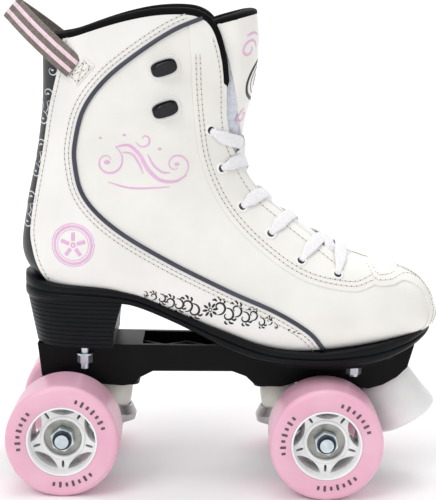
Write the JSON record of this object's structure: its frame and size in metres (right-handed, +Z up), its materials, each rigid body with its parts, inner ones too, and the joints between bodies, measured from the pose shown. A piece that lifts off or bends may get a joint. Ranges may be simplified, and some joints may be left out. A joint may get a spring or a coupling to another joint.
{
  "type": "quad roller skate",
  "caption": "High lace-up boot on a moulded plate with two steering trucks, four wheels on ball bearings and a toe stop.",
  "frame": {"origin": "middle of the skate's footprint on the ground, under the plate", "axes": "+X towards the toe, +Z up, -Y the outer side of the right foot"},
  "size_m": [0.2629, 0.13, 0.2852],
  "materials": {
    "white_leather": "matt coated side leather, warm white",
    "black_leather": "printed black coated leather",
    "black_padding": "soft black synthetic leather over foam",
    "dark_piping": "charcoal bound cord piping",
    "lining_fabric": "black brushed textile over foam",
    "insole_fabric": "black textile insole",
    "black_moulding": "satin moulded thermoplastic rubber",
    "white_enamel": "white enamelled eyelets",
    "black_enamel": "gloss black enamelled hooks",
    "white_lace": "flat woven polyester lace",
    "grey_webbing": "grey webbing with two pink stripes",
    "black_nylon": "satin glass filled nylon",
    "zinc_steel": "bright zinc plated steel",
    "white_rubber": "white moulded rubber",
    "cushion_urethane": "off-white cast urethane",
    "black_urethane": "black cast urethane",
    "cast_aluminium": "tumbled die-cast aluminium",
    "bearing_steel": "ground bearing steel and grey shields",
    "pink_urethane": "pink cast polyurethane, glossy tread",
    "white_nylon": "glossy white moulded nylon"
  },
  "bodies": {
    "boot": {"upper_shell": "white_leather", "heel_panels": "white_leather", "back_stay": "black_leather", "eyestay": "white_leather", "toe_overlay": "white_leather", "collar_binding": "black_padding", "piping": "dark_piping", "lining": "lining_fabric", "tongue": "white_leather", "insole": "insole_fabric", "sole": "black_moulding", "heel_block": "black_moulding", "eyelets": "white_enamel", "speed_hooks": "black_enamel", "laces": "white_lace", "pull_loop": "grey_webbing", "plate": "black_nylon", "mounting_bolts": "zinc_steel", "mounting_nuts": "zinc_steel", "toe_stop": "white_rubber", "toe_stop_bolt": "zinc_steel", "kingpin_front": "zinc_steel", "kingpin_nut_front": "zinc_steel", "cushion_upper_front": "cushion_urethane", "cushion_lower_front": "cushion_urethane", "cushion_washer_front": "zinc_steel", "pivot_cup_front": "black_urethane", "kingpin_rear": "zinc_steel", "kingpin_nut_rear": "zinc_steel", "cushion_upper_rear": "cushion_urethane", "cushion_lower_rear": "cushion_urethane", "cushion_washer_rear": "zinc_steel", "pivot_cup_rear": "black_urethane"},
    "truck_front": {"hanger_front": "cast_aluminium", "axle_front": "zinc_steel", "axle_spacers_front": "zinc_steel", "axle_nuts_front": "zinc_steel", "bearing_inner_rings_front": "bearing_steel"},
    "wheel_front_outer": {"tyre_front_outer": "pink_urethane", "hub_front_outer": "white_nylon", "bearing_outer_rings_front_outer": "bearing_steel"},
    "balls_front_outer": {"bearing_balls_front_outer": "bearing_steel"},
    "wheel_front_inner": {"tyre_front_inner": "pink_urethane", "hub_front_inner": "white_nylon", "bearing_outer_rings_front_inner": "bearing_steel"},
    "balls_front_inner": {"bearing_balls_front_inner": "bearing_steel"},
    "truck_rear": {"hanger_rear": "cast_aluminium", "axle_rear": "zinc_steel", "axle_spacers_rear": "zinc_steel", "axle_nuts_rear": "zinc_steel", "bearing_inner_rings_rear": "bearing_steel"},
    "wheel_rear_outer": {"tyre_rear_outer": "pink_urethane", "hub_rear_outer": "white_nylon", "bearing_outer_rings_rear_outer": "bearing_steel"},
    "balls_rear_outer": {"bearing_balls_rear_outer": "bearing_steel"},
    "wheel_rear_inner": {"tyre_rear_inner": "pink_urethane", "hub_rear_inner": "white_nylon", "bearing_outer_rings_rear_inner": "bearing_steel"},
    "balls_rear_inner": {"bearing_balls_rear_inner": "bearing_steel"}
  },
  "joints": [
    {"name": "steer_front", "type": "hinge", "parent": "boot", "child": "truck_front", "pos_m": [0.0399, 0, 0.036], "axis": [0.9703, 0, 0.2419], "range_deg": [-7.5, 7.5], "stiffness_Nm_per_rad": 14, "deforming": ["cushion_upper_front", "cushion_lower_front"]},
    {"name": "spin_front_outer", "type": "hinge", "parent": "truck_front", "child": "wheel_front_outer", "pos_m": [0.0629, 0, 0.033], "axis": [0, 1, 0], "continuous": true},
    {"name": "cage_front_outer", "type": "hinge", "parent": "truck_front", "child": "balls_front_outer", "pos_m": [0.0629, 0, 0.033], "axis": [0, 1, 0], "continuous": true},
    {"name": "spin_front_inner", "type": "hinge", "parent": "truck_front", "child": "wheel_front_inner", "pos_m": [0.0629, 0, 0.033], "axis": [0, 1, 0], "continuous": true},
    {"name": "cage_front_inner", "type": "hinge", "parent": "truck_front", "child": "balls_front_inner", "pos_m": [0.0629, 0, 0.033], "axis": [0, 1, 0], "continuous": true},
    {"name": "steer_rear", "type": "hinge", "parent": "boot", "child": "truck_rear", "pos_m": [-0.0669, 0, 0.036], "axis": [-0.9703, 0, 0.2419], "range_deg": [-7.5, 7.5], "stiffness_Nm_per_rad": 14, "deforming": ["cushion_upper_rear", "cushion_lower_rear"]},
    {"name": "spin_rear_outer", "type": "hinge", "parent": "truck_rear", "child": "wheel_rear_outer", "pos_m": [-0.0899, 0, 0.033], "axis": [0, 1, 0], "continuous": true},
    {"name": "cage_rear_outer", "type": "hinge", "parent": "truck_rear", "child": "balls_rear_outer", "pos_m": [-0.0899, 0, 0.033], "axis": [0, 1, 0], "continuous": true},
    {"name": "spin_rear_inner", "type": "hinge", "parent": "truck_rear", "child": "wheel_rear_inner", "pos_m": [-0.0899, 0, 0.033], "axis": [0, 1, 0], "continuous": true},
    {"name": "cage_rear_inner", "type": "hinge", "parent": "truck_rear", "child": "balls_rear_inner", "pos_m": [-0.0899, 0, 0.033], "axis": [0, 1, 0], "continuous": true}
  ],
  "couplings": [
    {"joint": "cage_front_outer", "follows": "spin_front_outer", "ratio": 0.63},
    {"joint": "cage_front_inner", "follows": "spin_front_inner", "ratio": 0.63},
    {"joint": "cage_rear_outer", "follows": "spin_rear_outer", "ratio": 0.63},
    {"joint": "cage_rear_inner", "follows": "spin_rear_inner", "ratio": 0.63}
  ]
}
